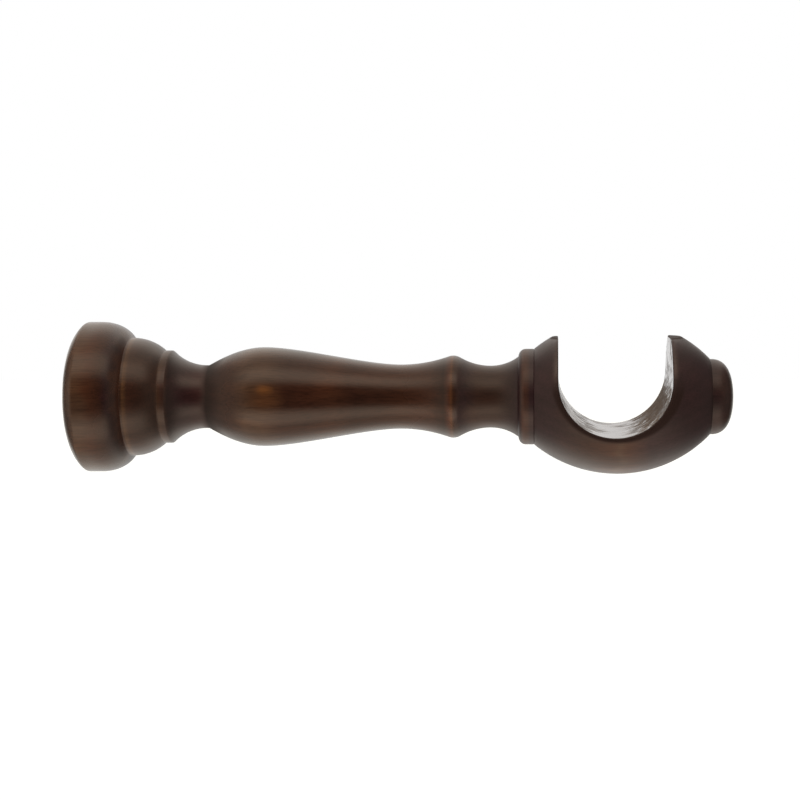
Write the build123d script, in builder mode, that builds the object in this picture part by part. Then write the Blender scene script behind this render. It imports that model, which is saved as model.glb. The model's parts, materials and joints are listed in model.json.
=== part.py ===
from build123d import *
import math
import os

# A curtain pole bracket turned from one length of wood, with a seat cut across its cup for the pole.
# The origin is the centre of the wall face. +X runs along the arm away from the wall, +Z is up,
# the pole lies along Y and drops into the seat from above. All sizes are in millimetres.

# Base flange against the wall
base_diameter = 39.9
base_bevel_length = 3.6
base_bevel_drop = 6.7
base_bevel_bulge = 0.7
base_rim_length = 3.7
base_ovolo_length = 8.4
base_ovolo_drop = 5.5

# Step and bead in front of the flange
step_diameter = 31.4
step_length = 8.7
bead_diameter = 24.6
bead_length = 1.9
bead_step = 0.15
bead_round = 0.4

# Neck between the bead and the vase
neck_cove_length = 9.3
neck_diameter = 16.7
neck_land_length = 0.5

# Vase of the arm: foot, shoulder and swell are the lengths over which its curves hold their end directions
vase_rise_length = 14.9
vase_diameter = 26.2
vase_foot = 1.3
vase_foot_slope = 0.38
vase_shoulder = 7.3
vase_taper_length = 36.3
vase_swell = 9.4
waist_diameter = 16.9

# Ring, and the cove between it and the collar
ring_rise_length = 14.1
ring_diameter = 22.4
ring_round = 3.5
cove_fall_length = 9.4
cove_diameter = 16.2
cove_rise_length = 7.2

# Collar behind the cup, an ovolo with a fine groove after it
collar_diameter = 25.0
collar_length = 4.1
collar_shoulder = 2.0
collar_ovolo_length = 1.9
collar_groove = 0.2

# Pole, and the seat that is cut for it
pole_diameter = 28.0
pole_clearance = 0.33
seat_rise = 5.45
arm_rise = 10.2
seat_edge_round = 0.8

# Cup of wood left around the seat
cup_step = 0.05
cup_back_wall = 6.2
cup_front_wall = 10.3
cup_floor = 11.2
cup_crown_offset = 0.8

# Button on the cup's end: shoulder and face are the lengths over which its curve holds its end directions
button_diameter = 19.5
button_step = 0.2
button_land_length = 0.55
button_dome_length = 5.5
button_shoulder = 3.9
button_face = 5.9

# Blind hole in the wall face for a hanger bolt
fixing_hole_diameter = 5.0
fixing_hole_depth = 30.0

# Radii of the turned profile
base_radius = base_diameter / 2
wall_face_radius = base_radius - base_bevel_drop
base_end_radius = base_radius - base_ovolo_drop
step_radius = step_diameter / 2
bead_radius = bead_diameter / 2
step_end_radius = bead_radius - bead_step
neck_radius = neck_diameter / 2
vase_radius = vase_diameter / 2
waist_radius = waist_diameter / 2
ring_radius = ring_diameter / 2
cove_radius = cove_diameter / 2
collar_radius = collar_diameter / 2
cove_end_radius = collar_radius - collar_shoulder
seat_radius = pole_diameter / 2 + pole_clearance
cup_start_radius = collar_radius + cup_step
cup_radius = seat_radius - seat_rise + cup_floor
button_radius = button_diameter / 2
cup_end_radius = button_radius + button_step

# Stations along the arm, measured from the wall
rim_start = base_bevel_length
rim_end = rim_start + base_rim_length
base_end = rim_end + base_ovolo_length
step_end = base_end + step_length
bead_end = step_end + bead_length
neck_start = bead_end + neck_cove_length
vase_start = neck_start + neck_land_length
vase_crown = vase_start + vase_rise_length
waist = vase_crown + vase_taper_length
ring = waist + ring_rise_length
cove_bottom = ring + cove_fall_length
collar_start = cove_bottom + cove_rise_length
cup_start = collar_start + collar_length
seat_x = cup_start + cup_back_wall + seat_radius
cup_crown = seat_x + cup_crown_offset
cup_end = seat_x + seat_radius + cup_front_wall
dome_start = cup_end + button_land_length
tip = dome_start + button_dome_length


def cup_reach(length, drop, height):
    """Distance from its crown at which the cup has a height, on a side that falls by drop over length."""
    arc_radius = (length**2 + drop**2) / (2 * drop)
    return math.sqrt(max(arc_radius**2 - (arc_radius - cup_radius + height) ** 2, 0))


# Heights at the cup, measured from the turning axis
arm_top = seat_rise + arm_rise
cutter_reach = cup_radius + seat_radius

# Lengths of the arms' flat tops, and the rounding of the seat's edges, which takes at most half of one
back_reach = cup_reach(cup_crown - cup_start, cup_radius - cup_start_radius, arm_top)
front_reach = cup_reach(cup_end - cup_crown, cup_radius - cup_end_radius, arm_top)
back_land = back_reach - (cup_crown - seat_x + seat_radius)
front_land = front_reach - (seat_x + seat_radius - cup_crown)
edge_round = min([seat_edge_round] + [land / 2 for land in (back_land, front_land) if land > 0])

# Directions along the axis, for arcs that leave a point level with it
along = (1, 0)
back = (-1, 0)

with BuildPart() as bracket:
    # The turned piece: half of its outline, above the axis, carried round the axis
    with BuildSketch(Plane.XZ) as outline:
        # Flange: flat wall face, bulged bevel, rim and ovolo
        with BuildLine():
            Line((0, 0), (0, wall_face_radius))
            SagittaArc((0, wall_face_radius), (rim_start, base_radius), base_bevel_bulge)
            Line((rim_start, base_radius), (rim_end, base_radius))
            EllipticalCenterArc(
                (rim_end, base_end_radius), base_ovolo_length, base_ovolo_drop, start_angle=0, arc_size=90
            )
            Polyline((base_end, base_end_radius), (base_end, 0), (0, 0))
        make_face()
        # Arm: step, bead, neck, vase, ring and cove, up to the collar's shoulder
        with BuildLine():
            Polyline((rim_end, 0), (rim_end, step_radius), (base_end, step_radius))
            TangentArc((base_end, step_radius), (step_end, step_end_radius), tangent=along)
            Polyline((step_end, step_end_radius), (step_end, bead_radius), (bead_end, bead_radius))
            TangentArc((neck_start, neck_radius), (bead_end, bead_radius), tangent=back)
            Line((neck_start, neck_radius), (vase_start, neck_radius))
            Bezier(
                (vase_start, neck_radius),
                (vase_start + vase_foot, neck_radius + vase_foot_slope * vase_foot),
                (vase_crown - vase_shoulder, vase_radius),
                (vase_crown, vase_radius),
            )
            Bezier(
                (vase_crown, vase_radius),
                (vase_crown + vase_swell, vase_radius),
                (waist - vase_swell, waist_radius),
                (waist, waist_radius),
            )
            TangentArc((waist, waist_radius), (ring, ring_radius), tangent=along)
            TangentArc((cove_bottom, cove_radius), (ring, ring_radius), tangent=back)
            TangentArc((cove_bottom, cove_radius), (collar_start, cove_end_radius), tangent=along)
            Polyline((collar_start, cove_end_radius), (collar_start, 0), (rim_end, 0))
        make_face()
        fillet(outline.vertices().sort_by_distance((ring, ring_radius))[0], radius=ring_round)
        fillet(outline.vertices().sort_by_distance((bead_end, bead_radius))[0], radius=bead_round)
        # Collar: ovolo on the arm's side, small quarter round beside the cup
        with BuildLine():
            EllipticalCenterArc(
                (collar_start + collar_ovolo_length, cove_end_radius),
                collar_ovolo_length,
                collar_shoulder,
                start_angle=90,
                arc_size=90,
            )
            Line(
                (collar_start + collar_ovolo_length, collar_radius),
                (cup_start - collar_groove, collar_radius),
            )
            CenterArc((cup_start - collar_groove, collar_radius - collar_groove), collar_groove, 0, 90)
            Polyline(
                (cup_start, collar_radius - collar_groove),
                (cup_start, 0),
                (collar_start, 0),
                (collar_start, cove_end_radius),
            )
        make_face()
        # Cup: a ball drawn out along the arm
        with BuildLine():
            Line((cup_start, 0), (cup_start, cup_start_radius))
            TangentArc((cup_crown, cup_radius), (cup_start, cup_start_radius), tangent=back)
            TangentArc((cup_crown, cup_radius), (cup_end, cup_end_radius), tangent=along)
            Polyline((cup_end, cup_end_radius), (cup_end, 0), (cup_start, 0))
        make_face()
        # Button: short land and a dome with a round edge
        with BuildLine():
            Polyline((cup_end, 0), (cup_end, button_radius), (dome_start, button_radius))
            Bezier(
                (dome_start, button_radius),
                (dome_start + button_shoulder, button_radius),
                (tip, button_face),
                (tip, 0),
            )
            Line((tip, 0), (cup_end, 0))
        make_face()
    revolve(axis=Axis.X)

    # Flat tops of the two arms of the cup
    with BuildSketch(Plane.XY.offset(arm_top)):
        with Locations((seat_x, 0)):
            Rectangle(cup_end - cup_start, 2 * cup_radius)
    extrude(amount=cutter_reach, mode=Mode.SUBTRACT)

    # Seat for the pole, a round-bottomed slot open at the top
    with BuildSketch(Plane.XZ):
        with Locations((seat_x, seat_rise)):
            Circle(seat_radius)
            Rectangle(2 * seat_radius, cutter_reach, align=(Align.CENTER, Align.MIN))
    extrude(amount=cutter_reach, both=True, mode=Mode.SUBTRACT)

    # Softened edges all round the seat, where it breaks out of the cup and of the arm tops
    seat_bottom = bracket.faces().filter_by(GeomType.CYLINDER).sort_by_distance((seat_x, 0, seat_rise))[0]
    seat_sides = bracket.faces().filter_by(Axis.X).filter_by_position(
        Axis.X, seat_x - seat_radius, seat_x + seat_radius
    )
    seams = seat_bottom.edges().filter_by(Axis.Y)
    seat_edges = ShapeList([seat_bottom, *seat_sides]).edges()
    fillet([edge for edge in seat_edges if edge not in seams], radius=edge_round)

    # Pilot hole in the middle of the wall face
    with Locations(Plane.YZ):
        Hole(radius=fixing_hole_diameter / 2, depth=fixing_hole_depth)

bracket.part.label = "bracket"
os.makedirs("parts", exist_ok=True)
export_step(bracket.part, "parts/bracket.step")
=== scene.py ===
"""Looks of a turned wooden curtain pole bracket, built in the frame of its CAD model.

The bracket is one length of hardwood: turned between centres, stained dark walnut, finished with a satin
lacquer, and bored across its cup for the pole. +X runs along the arm away from the wall and +Z is up.
Sizes are in millimetres until a mesh is made.
"""

import json
import logging
import math
from collections.abc import Sequence
from dataclasses import dataclass, field
from enum import Enum
from typing import Any

import bmesh
import bpy
import numpy as np
from mathutils import Matrix, Vector

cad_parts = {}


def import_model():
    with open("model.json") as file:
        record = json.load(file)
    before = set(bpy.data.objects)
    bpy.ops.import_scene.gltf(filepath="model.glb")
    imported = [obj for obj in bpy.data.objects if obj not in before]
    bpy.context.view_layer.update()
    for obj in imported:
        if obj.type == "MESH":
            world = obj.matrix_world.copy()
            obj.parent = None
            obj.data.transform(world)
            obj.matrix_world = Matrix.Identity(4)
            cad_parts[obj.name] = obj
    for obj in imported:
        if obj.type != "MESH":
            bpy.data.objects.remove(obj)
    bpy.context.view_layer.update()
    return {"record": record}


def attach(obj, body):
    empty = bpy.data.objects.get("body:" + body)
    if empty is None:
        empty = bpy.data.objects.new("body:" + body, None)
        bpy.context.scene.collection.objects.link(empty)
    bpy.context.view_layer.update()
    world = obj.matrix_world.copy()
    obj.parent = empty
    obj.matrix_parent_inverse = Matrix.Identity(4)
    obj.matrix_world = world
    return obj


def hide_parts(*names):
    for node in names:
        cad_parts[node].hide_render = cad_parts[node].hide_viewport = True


MM = 0.001
PIECE = "turned_bracket"
CAD_NODE = "bracket"
BODY = "root"
ARC_POINTS = 60
CURVE_POINTS = 160
SEARCH_POINTS = 20000
MIRROR = np.array([1, -1, 1])
LOG = logging.getLogger("bracket")

Pair = tuple[float, float]
Triple = tuple[float, float, float]
Colour = tuple[float, float, float, float]
Stops = Sequence[tuple[float, Colour]]
Tree = bpy.types.NodeTree
Feed = bpy.types.Node | bpy.types.NodeSocket


class Finish(Enum):
    """The bracket's two finishes, numbered as its material slots are."""

    TURNED = 0
    BORED = 1


class Side(Enum):
    """The two arms of the cup, and the way along X that each lies from the seat."""

    WALL = -1
    ROOM = 1


def to_linear(hex_colour: str) -> Colour:
    """Turn an sRGB hex colour into linear red, green, blue and an alpha of one.

    Args:
        hex_colour: Six hex digits after a hash sign.

    Returns:
        The four linear values that a shader socket takes.
    """
    srgb = np.array([int(hex_colour[i : i + 2], 16) for i in (1, 3, 5)]) / 255
    linear = np.where(srgb <= 0.04045, srgb / 12.92, ((srgb + 0.055) / 1.055) ** 2.4)
    return (*linear.tolist(), 1.0)


def empty_tree(owner: bpy.types.Material | bpy.types.World) -> Tree:
    """Switch nodes on and clear away the ones that are there from the start.

    Args:
        owner: The material or the world.

    Returns:
        Its node tree, empty.
    """
    owner.use_nodes = True
    owner.node_tree.nodes.clear()
    return owner.node_tree


def add_node(
    tree: Tree, kind: str, inputs: dict[int | str, Any] | Sequence[Any], stops: Stops = (), **settings: Any
) -> bpy.types.Node:
    """Add a shader node to a tree, with its settings, socket values, links and ramp.

    Args:
        tree: The node tree that gets the node.
        kind: The node's type, without the prefix that all shader nodes share.
        inputs: What goes into the sockets, in their order or by name: a value, an output that feeds the
            socket, or a node whose first output in use feeds it.
        stops: Place and linear colour of each stop, in order, where the node has a ramp.
        settings: The node's own properties.

    Returns:
        The new node.
    """
    node = tree.nodes.new("ShaderNode" + kind)
    for name, value in settings.items():
        setattr(node, name, value)
    for name, value in inputs.items() if isinstance(inputs, dict) else enumerate(inputs):
        if isinstance(value, bpy.types.Node):
            value = next(socket for socket in value.outputs if socket.enabled)
        if isinstance(value, bpy.types.NodeSocket):
            tree.links.new(value, node.inputs[name])
        else:
            node.inputs[name].default_value = value
    if stops:
        elements = node.color_ramp.elements
        elements.remove(elements[1])
        elements[0].position, elements[0].color = stops[0]
        for place, colour in stops[1:]:
            elements.new(place).color = colour
    return node


def smooth(t: np.ndarray) -> np.ndarray:
    """Ease from 0 to 1 with level ends: three t squared less two t cubed."""
    return t * t * (3 - 2 * t)


def level_arc(level: Pair, end: Pair) -> np.ndarray:
    """Circular arc that is level with the axis at its first point.

    The centre stands over the level point at the height (dx² + dr²) / (2 dr), and the arc is swept by its
    angle, twice the one whose tangent is dr / dx.

    Args:
        level: Station and radius of the level end.
        end: Station and radius of the other end.

    Returns:
        Stations and radii, one row for each point.
    """
    dx, dr = end[0] - level[0], end[1] - level[1]
    height = (dx * dx + dr * dr) / (2 * dr)
    sweep = np.linspace(0, 2 * math.atan2(abs(dr), abs(dx)), ARC_POINTS)
    x = level[0] + math.copysign(abs(height), dx) * np.sin(sweep)
    return np.column_stack([x, level[1] + height * (1 - np.cos(sweep))])


def oval(centre: Pair, reach: Pair, turn: Pair) -> np.ndarray:
    """Stretch of an ellipse: the centre plus cosine and sine of the angle, times the two half axes.

    Args:
        centre: Station and radius of the ellipse's centre.
        reach: Half axes along the station and the radius.
        turn: First and last angle, in degrees.

    Returns:
        Stations and radii, one row for each point.
    """
    angle = np.radians(np.linspace(*turn, ARC_POINTS))
    return np.column_stack([centre[0] + reach[0] * np.cos(angle), centre[1] + reach[1] * np.sin(angle)])


def bezier(*poles: Pair) -> np.ndarray:
    """Cubic curve on four poles, each weighted by its Bernstein polynomial.

    Args:
        poles: Station and radius of the four poles.

    Returns:
        Stations and radii, one row for each point.
    """
    t = np.linspace(0, 1, CURVE_POINTS)[:, None]
    weights = (1 - t) ** 3, 3 * t * (1 - t) ** 2, 3 * t * t * (1 - t), t**3
    return sum(weight * np.array(pole) for weight, pole in zip(weights, poles))


def softened(outline: np.ndarray, spread: float, pitch: float = 0.02) -> np.ndarray:
    """Take the sharpness off an outline, as sandpaper takes it off corners and lacquer fills creases.

    The outline is sampled evenly along its length and each point becomes the mean of its neighbours, out to
    four spreads, with Gaussian weights. Point reflection past the two ends keeps the ends where they are.

    Args:
        outline: Stations and radii, one row for each point.
        spread: Standard deviation of the weights, as a length along the outline.
        pitch: Distance between samples.

    Returns:
        The softened outline, evenly sampled.
    """
    length = np.concatenate([[0], np.cumsum(np.linalg.norm(np.diff(outline, axis=0), axis=1))])
    even = np.linspace(0, length[-1], int(length[-1] / pitch))
    fine = np.column_stack([np.interp(even, length, column) for column in outline.T])
    reach = int(4 * spread / pitch)
    weights = np.exp(-0.5 * (np.arange(-reach, reach + 1) * pitch / spread) ** 2)
    weights /= weights.sum()
    ends = 2 * fine[0] - fine[reach:0:-1], 2 * fine[-1] - fine[-2 : -reach - 2 : -1]
    padded = np.concatenate([ends[0], fine, ends[1]])
    return np.column_stack([np.convolve(column, weights, mode="valid") for column in padded.T])


def thinned(outline: np.ndarray, step: float, turn: float) -> np.ndarray:
    """Keep few points where an outline runs straight and many where it bends.

    Each point costs its distance from the last one over the step, plus its bend over the turn, and points
    are kept at equal steps of that cost.

    Args:
        outline: Stations and radii, finely and evenly sampled.
        step: Length that costs one point.
        turn: Bend that costs one point, in degrees.

    Returns:
        The kept points, both ends among them.
    """
    run = np.diff(outline, axis=0)
    heading = np.unwrap(np.arctan2(run[:, 1], run[:, 0]))
    cost = np.linalg.norm(run, axis=1) / step
    cost[1:] += np.abs(np.diff(heading)) / math.radians(turn)
    total = np.concatenate([[0], np.cumsum(cost)])
    wanted = np.linspace(0, total[-1], math.ceil(total[-1]) + 1)
    kept = np.unique(np.rint(np.interp(wanted, total, np.arange(len(total)))).astype(int))
    return outline[kept]


def around_axis(x: np.ndarray, radius: np.ndarray, angle: np.ndarray) -> np.ndarray:
    """Points round the axis: depth by the sine and height by the cosine of the turn from the top."""
    return np.stack(np.broadcast_arrays(x, radius * np.sin(angle), radius * np.cos(angle)), axis=-1)


@dataclass
class Shell:
    """Grids of points gathered into one closed mesh, with a finish for each face."""

    points: list[np.ndarray] = field(default_factory=list)
    quads: list[np.ndarray] = field(default_factory=list)
    finishes: list[np.ndarray] = field(default_factory=list)
    count: int = 0

    def add(self, grid: np.ndarray, finish: np.ndarray | Finish = Finish.TURNED) -> None:
        """Add a grid whose neighbouring points are joined by quads.

        Args:
            grid: Rows by columns by three coordinates, in millimetres.
            finish: One finish for the grid, or the slot number of each row of its faces.
        """
        rows, columns = grid.shape[:2]
        index = np.arange(rows * columns).reshape(rows, columns) + self.count
        corners = index[:-1, :-1], index[1:, :-1], index[1:, 1:], index[:-1, 1:]
        per_row = np.full(rows - 1, finish.value) if isinstance(finish, Finish) else finish
        self.points.append(grid.reshape(-1, 3))
        self.quads.append(np.stack(corners, axis=-1).reshape(-1, 4))
        self.finishes.append(np.repeat(per_row, columns - 1))
        self.count += rows * columns

    def add_both(self, grid: np.ndarray) -> None:
        """Add a grid of turned skin and its mirror image about the upright middle plane."""
        self.add(grid)
        self.add(grid * MIRROR)

    def mesh(self, name: str, weld: float) -> bpy.types.Mesh:
        """Make the mesh: seams and poles welded, faces outward, smooth shaded.

        Args:
            name: The mesh's name.
            weld: Distance within which points become one, in millimetres.

        Returns:
            The finished mesh, in metres.
        """
        mesh = bpy.data.meshes.new(name)
        points = np.concatenate(self.points) * MM
        mesh.from_pydata(points.tolist(), [], np.concatenate(self.quads).tolist())
        mesh.polygons.foreach_set("material_index", np.concatenate(self.finishes).astype(np.int32))
        work = bmesh.new()
        work.from_mesh(mesh)
        bmesh.ops.remove_doubles(work, verts=work.verts, dist=weld * MM)
        bmesh.ops.recalc_face_normals(work, faces=work.faces)
        open_edges = sum(not edge.is_manifold for edge in work.edges)
        work.to_mesh(mesh)
        work.free()
        mesh.polygons.foreach_set("use_smooth", np.ones(len(mesh.polygons), bool))
        LOG.info("%s: %d faces, %d open edges", name, len(mesh.polygons), open_edges)
        return mesh


@dataclass(frozen=True)
class WallFlange:
    """Stepped round base: fixing hole, wall face, bowed bevel, rim, ovolo, step and bead."""

    hole_radius: float
    hole_depth: float
    radius: float = 19.95
    bevel_length: float = 3.6
    bevel_drop: float = 6.7
    bevel_bulge: float = 0.7
    bevel_points: int = 40
    rim_length: float = 3.7
    ovolo_length: float = 8.4
    ovolo_drop: float = 5.5
    step_radius: float = 15.7
    step_length: float = 8.7
    bead_radius: float = 12.3
    bead_length: float = 1.9
    bead_step: float = 0.15
    rim_softness: float = 0.35

    @property
    def rim_end(self) -> float:
        """Station where the rim turns into the ovolo."""
        return self.bevel_length + self.rim_length

    @property
    def step_start(self) -> float:
        """Station where the step begins to round off."""
        return self.rim_end + self.ovolo_length

    @property
    def bead_start(self) -> float:
        """Station of the bead's face towards the wall."""
        return self.step_start + self.step_length

    @property
    def end(self) -> float:
        """Station where the bead ends and the neck begins."""
        return self.bead_start + self.bead_length

    def outline(self) -> np.ndarray:
        """Outline from the bottom of the fixing hole to the end of the bead.

        The bevel is its chord plus four t (1 - t) times the bulge, square to the chord. The ovolo is a
        quarter of an ellipse that stops where it meets the step. The corners of the rim are sanded soft.

        Returns:
            Stations and radii, one row for each point.
        """
        hole = [(self.hole_depth, 0), (self.hole_depth, self.hole_radius), (0, self.hole_radius)]
        t = np.linspace(0, 1, self.bevel_points)[:, None]
        chord = np.array([self.bevel_length, self.bevel_drop])
        outward = np.array([-chord[1], chord[0]]) / np.linalg.norm(chord)
        face_edge = np.array([0, self.radius - self.bevel_drop])
        bevel = face_edge + t * chord + 4 * t * (1 - t) * self.bevel_bulge * outward
        ovolo_base = self.radius - self.ovolo_drop
        meets_step = math.degrees(math.asin((self.step_radius - ovolo_base) / self.ovolo_drop))
        ovolo = oval((self.rim_end, ovolo_base), (self.ovolo_length, self.ovolo_drop), (90, meets_step))
        rim = softened(np.concatenate([bevel, ovolo]), self.rim_softness)
        step_end = self.bead_start, self.bead_radius - self.bead_step
        step = level_arc((self.step_start, self.step_radius), step_end)
        bead = [(self.bead_start, self.bead_radius), (self.end, self.bead_radius)]
        return np.concatenate([hole, rim, step, bead])


@dataclass(frozen=True)
class BalusterArm:
    """Slender middle of the arm: neck, vase, ring and cove."""

    start: float
    start_radius: float
    neck_length: float = 9.3
    neck_radius: float = 8.35
    land_length: float = 0.5
    vase_rise: float = 14.9
    vase_radius: float = 13.1
    vase_foot: float = 1.3
    vase_foot_slope: float = 0.38
    vase_shoulder: float = 7.3
    vase_taper: float = 36.3
    vase_swell: float = 9.4
    waist_radius: float = 8.45
    ring_rise: float = 14.1
    ring_radius: float = 11.2
    ring_round: float = 3.5
    cove_fall: float = 9.4
    cove_radius: float = 8.1
    cove_rise: float = 7.2

    @property
    def vase_start(self) -> float:
        """Station of the crease between the neck and the vase."""
        return self.start + self.neck_length + self.land_length

    @property
    def crown(self) -> float:
        """Station where the vase is fattest."""
        return self.vase_start + self.vase_rise

    @property
    def waist(self) -> float:
        """Station where the arm is slimmest before the ring."""
        return self.crown + self.vase_taper

    @property
    def ring(self) -> float:
        """Station of the ring's crest."""
        return self.waist + self.ring_rise

    @property
    def cove(self) -> float:
        """Station of the bottom of the cove."""
        return self.ring + self.cove_fall

    @property
    def end(self) -> float:
        """Station where the collar begins."""
        return self.cove + self.cove_rise

    def crest(self) -> np.ndarray:
        """Outline over the ring: two level arcs, joined by a round that touches both.

        The round's centre lies where two circles cross, each about an arc's centre and larger than the arc
        by the round's own radius.

        Returns:
            Stations and radii from the waist to the bottom of the cove.
        """
        feet = np.array([(self.waist, self.waist_radius), (self.cove, self.cove_radius)])
        run = np.array([self.ring, self.ring_radius]) - feet
        radii = (run**2).sum(axis=1) / (2 * run[:, 1])
        centres = feet + np.column_stack([np.zeros(2), radii])
        between = centres[1] - centres[0]
        gap = np.linalg.norm(between)
        reach = radii + self.ring_round
        along = (reach[0] ** 2 - reach[1] ** 2 + gap**2) / (2 * gap)
        across = math.sqrt(reach[0] ** 2 - along**2)
        square = np.array([between[1], -between[0]]) / gap
        middle = centres[0] + between / gap * along + square * across
        touches = centres + (middle - centres) * (radii / reach)[:, None]
        turn = [math.degrees(math.atan2(*(touch - middle)[::-1])) for touch in touches]
        rise, fall = (level_arc(tuple(foot), tuple(touch)) for foot, touch in zip(feet, touches))
        over = oval(tuple(middle), (self.ring_round, self.ring_round), tuple(turn))
        return np.concatenate([rise, over, fall[::-1]])

    def outline(self, end_radius: float) -> np.ndarray:
        """Outline from the bead to the collar.

        Args:
            end_radius: Radius at which the cove meets the collar.

        Returns:
            Stations and radii, one row for each point.
        """
        neck_end = self.vase_start - self.land_length
        neck = level_arc((neck_end, self.neck_radius), (self.start, self.start_radius))[::-1]
        rise = bezier(
            (self.vase_start, self.neck_radius),
            (self.vase_start + self.vase_foot, self.neck_radius + self.vase_foot_slope * self.vase_foot),
            (self.crown - self.vase_shoulder, self.vase_radius),
            (self.crown, self.vase_radius),
        )
        taper = bezier(
            (self.crown, self.vase_radius),
            (self.crown + self.vase_swell, self.vase_radius),
            (self.waist - self.vase_swell, self.waist_radius),
            (self.waist, self.waist_radius),
        )
        cove = level_arc((self.cove, self.cove_radius), (self.end, end_radius))
        return np.concatenate([neck, rise, taper[1:], self.crest()[1:], cove[1:]])


@dataclass(frozen=True)
class PoleCup:
    """Collar, ball-shaped cup and button at the end of the arm, with the seat cut across the cup."""

    start: float
    seat_x: float
    seat_rise: float
    seat_radius: float
    collar_radius: float = 12.5
    collar_length: float = 4.1
    collar_shoulder: float = 2.0
    collar_ovolo: float = 1.9
    collar_groove: float = 0.2
    cup_step: float = 0.05
    cup_floor: float = 11.2
    cup_crown_offset: float = 0.8
    front_wall: float = 10.3
    arm_rise: float = 10.2
    arm_corner: float = 0.4
    edge_width: float = 1.2
    button_radius: float = 9.75
    button_step: float = 0.2
    button_land: float = 0.55
    button_dome: float = 5.5
    button_shoulder: float = 3.9
    button_face: float = 5.9

    @property
    def cup_start(self) -> float:
        """Station of the crease between the collar and the cup."""
        return self.start + self.collar_length

    @property
    def crown(self) -> float:
        """Station where the cup is fattest."""
        return self.seat_x + self.cup_crown_offset

    @property
    def cup_end(self) -> float:
        """Station of the crease between the cup and the button."""
        return self.seat_x + self.seat_radius + self.front_wall

    @property
    def tip(self) -> float:
        """Station of the tip of the button."""
        return self.cup_end + self.button_land + self.button_dome

    @property
    def cup_radius(self) -> float:
        """Radius of the cup at its crown: the seat's depth below the axis, and the floor under it."""
        return self.seat_radius - self.seat_rise + self.cup_floor

    @property
    def arm_top(self) -> float:
        """Height of the flat tops of the two arms."""
        return self.seat_rise + self.arm_rise

    @property
    def shoulder_radius(self) -> float:
        """Radius at which the cove runs into the collar."""
        return self.collar_radius - self.collar_shoulder

    def ball_end(self, side: Side) -> Pair:
        """Find where the cup's arc ends, towards the wall or towards the room.

        Args:
            side: Which of the two ends.

        Returns:
            Its station and radius.
        """
        if side is Side.WALL:
            return self.cup_start, self.collar_radius + self.cup_step
        return self.cup_end, self.button_radius + self.button_step

    def ball(self, x: np.ndarray) -> np.ndarray:
        """Radius of the cup at stations along it.

        Each side is a circular arc that is level at the crown: the crown's radius, less the arc's own
        radius, plus the root of that radius squared less the distance from the crown squared. An arc that
        drops over a run has the radius (run² + drop²) / (2 drop).

        Args:
            x: Stations between the two ends of the cup.

        Returns:
            The radius at each station.
        """
        arcs: list[float] = []
        for station, radius in map(self.ball_end, Side):
            run, drop = self.crown - station, self.cup_radius - radius
            arcs.append((run**2 + drop**2) / (2 * drop))
        arc = np.where(x < self.crown, *arcs)
        return self.cup_radius - arc + np.sqrt(arc**2 - (x - self.crown) ** 2)

    def arm_point(self, side: Side) -> float:
        """Station where the flat top of an arm runs out into the cup, which is just as high there."""
        x = np.linspace(self.crown, self.ball_end(side)[0], SEARCH_POINTS)
        return float(np.interp(-self.arm_top, -self.ball(x), x))

    def back_outline(self) -> np.ndarray:
        """Outline from the collar's shoulder to where the wall arm's flat top begins.

        The collar is a quarter of an ellipse and, after a straight run, a small quarter circle.

        Returns:
            Stations and radii, one row for each point.
        """
        crest = self.start + self.collar_ovolo
        ovolo = oval((crest, self.shoulder_radius), (self.collar_ovolo, self.collar_shoulder), (180, 90))
        groove_centre = self.cup_start - self.collar_groove, self.collar_radius - self.collar_groove
        groove = oval(groove_centre, (self.collar_groove, self.collar_groove), (90, 0))
        x = np.linspace(self.cup_start, self.arm_point(Side.WALL), ARC_POINTS)
        return np.concatenate([ovolo, groove, np.column_stack([x, self.ball(x)])])

    def front_outline(self) -> np.ndarray:
        """Outline from where the room arm's flat top ends to the tip of the button.

        The button is a short straight land and a cubic curve that ends square to the axis.

        Returns:
            Stations and radii, one row for each point.
        """
        x = np.linspace(self.arm_point(Side.ROOM), self.cup_end, ARC_POINTS)
        dome_start = self.cup_end + self.button_land
        dome = bezier(
            (dome_start, self.button_radius),
            (dome_start + self.button_shoulder, self.button_radius),
            (self.tip, self.button_face),
            (self.tip, 0),
        )
        land = [(self.cup_end, self.button_radius)]
        return np.concatenate([np.column_stack([x, self.ball(x)]), land, dome])


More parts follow.
